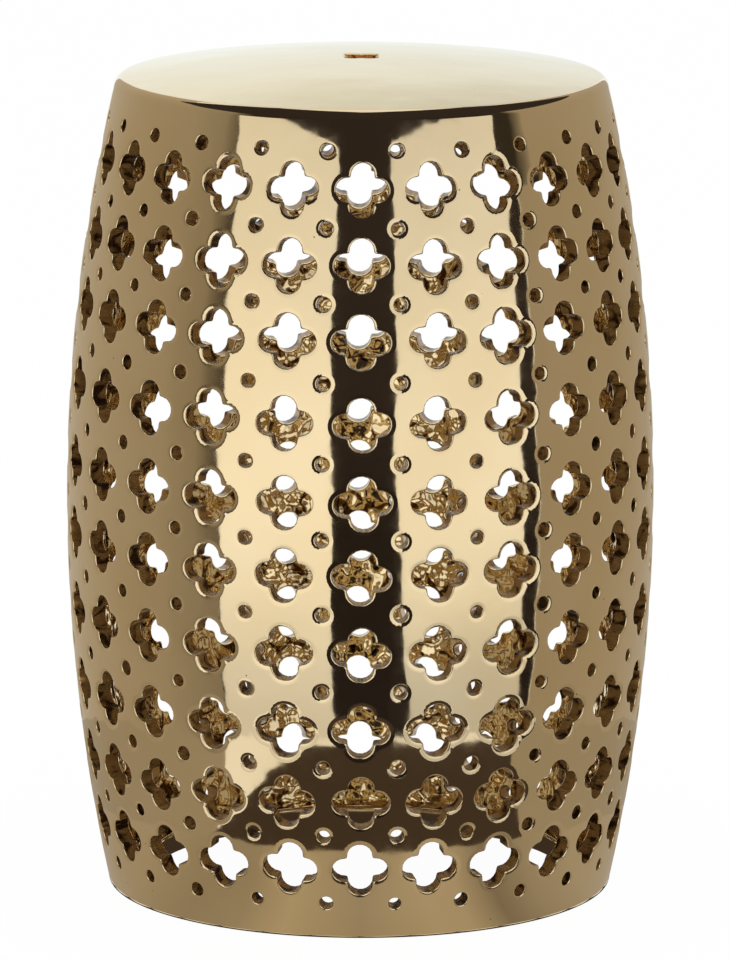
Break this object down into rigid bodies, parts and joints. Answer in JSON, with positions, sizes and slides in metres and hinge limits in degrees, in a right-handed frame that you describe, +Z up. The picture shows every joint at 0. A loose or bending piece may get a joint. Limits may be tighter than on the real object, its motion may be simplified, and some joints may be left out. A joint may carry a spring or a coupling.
{
  "type": "garden stool",
  "caption": "Drum-shaped garden stool of pierced ceramic with a gold metallic glaze, a gently domed seat and a lattice of quatrefoil and small round holes; open underneath.",
  "frame": {"origin": "centre of the foot at floor level, under the pads", "axes": "+Z up along the barrel's axis, -Y out of the side that faces the camera, along a column of quatrefoils"},
  "size_m": [0.33, 0.33, 0.4705],
  "materials": {
    "gold_glaze": "mirror-gloss champagne gold metallic glaze over stoneware",
    "pad_felt": "matt black pressed felt"
  },
  "bodies": {
    "root": {"seat_top": "gold_glaze", "barrel_wall": "gold_glaze", "base_ring": "gold_glaze", "pad_front": "pad_felt", "pad_right": "pad_felt", "pad_back": "pad_felt", "pad_left": "pad_felt"}
  },
  "joints": []
}
